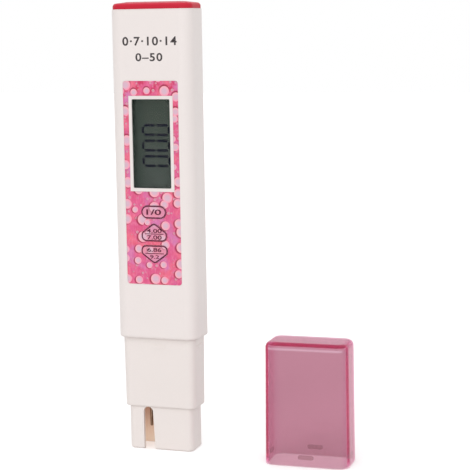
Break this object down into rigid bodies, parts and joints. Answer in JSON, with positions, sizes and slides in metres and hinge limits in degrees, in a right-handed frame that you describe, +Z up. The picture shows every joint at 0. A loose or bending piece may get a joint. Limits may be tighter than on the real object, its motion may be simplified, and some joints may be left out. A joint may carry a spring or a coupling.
{
  "type": "water quality test pen",
  "caption": "Upright pocket meter with display, press keys, slotted electrode tip, pull-out battery drawer and a translucent protective cap standing beside it.",
  "frame": {"origin": "centre of the tip's lower rim, on the surface that the pen stands on", "axes": "+Z up along the pen from tip to battery drawer, -Y out of the display, +X to the display's right as read upright, towards the cap that stands beside the pen"},
  "size_m": [0.0829, 0.02, 0.1546],
  "materials": {
    "white_shell": "warm white moulded plastic, satin",
    "face_print": "pink droplet print under a satin film",
    "lens": "clear window",
    "lcd": "dark grey-green liquid crystal panel",
    "reflector": "brushed foil",
    "inner_plastic": "black moulded plastic",
    "elastomer": "dark rubber",
    "laminate": "green circuit board",
    "metal": "bright steel",
    "ceramic": "unglazed ceramic",
    "electrode_glass": "thin clear glass",
    "silver": "silver",
    "potting_resin": "brown potting compound",
    "lead_sleeve": "red sleeving",
    "red_cap": "crimson moulded plastic, satin",
    "tinted_cap": "frosted translucent pink plastic"
  },
  "bodies": {
    "pen": {"housing": "white_shell", "probe_body": "white_shell", "probe_seal": "elastomer", "face_sheet": "face_print", "switch_bodies": "inner_plastic", "snap_domes": "metal", "display_lens": "lens", "lcd_glass": "lcd", "lcd_reflector": "reflector", "lcd_holder": "inner_plastic", "zebra_strip": "elastomer", "main_board": "laminate", "controller_chip": "inner_plastic", "amplifier_chip": "inner_plastic", "clock_crystal": "metal", "board_passives": "ceramic", "conductivity_pins": "metal", "glass_electrode": "electrode_glass", "glass_stopper": "elastomer", "silver_wire": "silver", "reference_junction": "ceramic", "temperature_sheath": "metal", "thermistor": "inner_plastic", "potting": "potting_resin", "sensor_leads": "lead_sleeve", "left_contact": "metal", "right_contact": "metal"},
    "power_button": {"power_key": "face_print", "power_switch_stem": "inner_plastic"},
    "hold_button": {"hold_key": "face_print", "hold_switch_stem": "inner_plastic"},
    "mode_button": {"mode_key": "face_print", "mode_switch_stem": "inner_plastic"},
    "battery_drawer": {"battery_cap": "red_cap", "drawer_gasket": "elastomer", "battery_carrier": "inner_plastic", "cell_bridge": "metal", "left_cell": "metal", "right_cell": "metal"},
    "protective_cap": {"protective_cap": "tinted_cap"}
  },
  "joints": [
    {"name": "power_press", "type": "slide", "parent": "pen", "child": "power_button", "axis": [0, 1, 0], "range_m": [0, 0.00035], "stiffness_N_per_m": 600},
    {"name": "hold_press", "type": "slide", "parent": "pen", "child": "hold_button", "axis": [0, 1, 0], "range_m": [0, 0.00035], "stiffness_N_per_m": 600},
    {"name": "mode_press", "type": "slide", "parent": "pen", "child": "mode_button", "axis": [0, 1, 0], "range_m": [0, 0.00035], "stiffness_N_per_m": 600},
    {"name": "battery_drawer_pull", "type": "slide", "parent": "pen", "child": "battery_drawer", "axis": [0, 0, 1], "range_m": [0, 0.024]},
    {"name": "protective_cap_lift", "type": "slide", "parent": "pen", "child": "protective_cap", "axis": [0, 0, 1], "range_m": [0, 0.045]}
  ]
}
